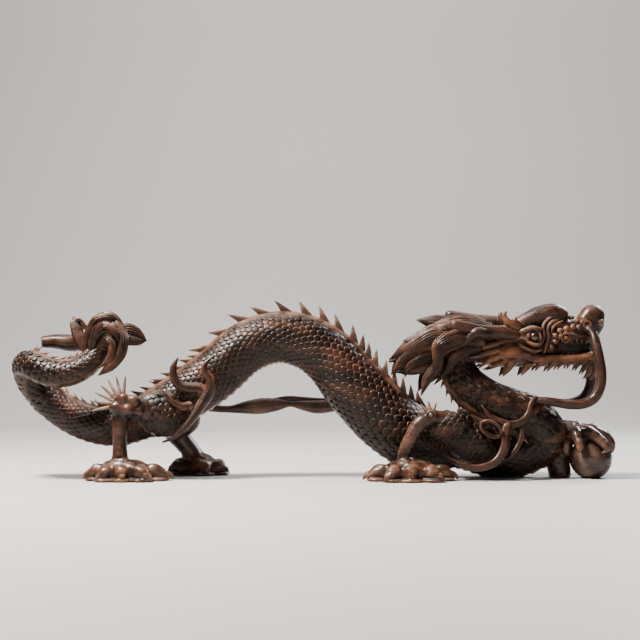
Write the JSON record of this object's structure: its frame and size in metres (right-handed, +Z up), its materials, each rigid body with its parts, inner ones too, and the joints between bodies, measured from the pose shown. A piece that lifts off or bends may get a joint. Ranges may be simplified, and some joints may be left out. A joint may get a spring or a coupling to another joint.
{
  "type": "dragon sculpture",
  "caption": "Long carved rosewood dragon with arched scaly body, coiled tail, spined back, open-jawed horned head and a paw on a pearl; stands flat on a table.",
  "frame": {"origin": "middle of the bounding box in plan, in the plane of the table that the feet, chest and pearl rest on", "axes": "+X along the length from the tail coil to the head, +Y across the body away from the side with the free fore paw, +Z up"},
  "size_m": [0.7994, 0.1646, 0.2371],
  "materials": {
    "rosewood": "dark brown to near-black rosewood with rust-red heartwood patches, waxed to a soft gloss"
  },
  "bodies": {
    "root": {"dragon": "rosewood"}
  },
  "joints": []
}
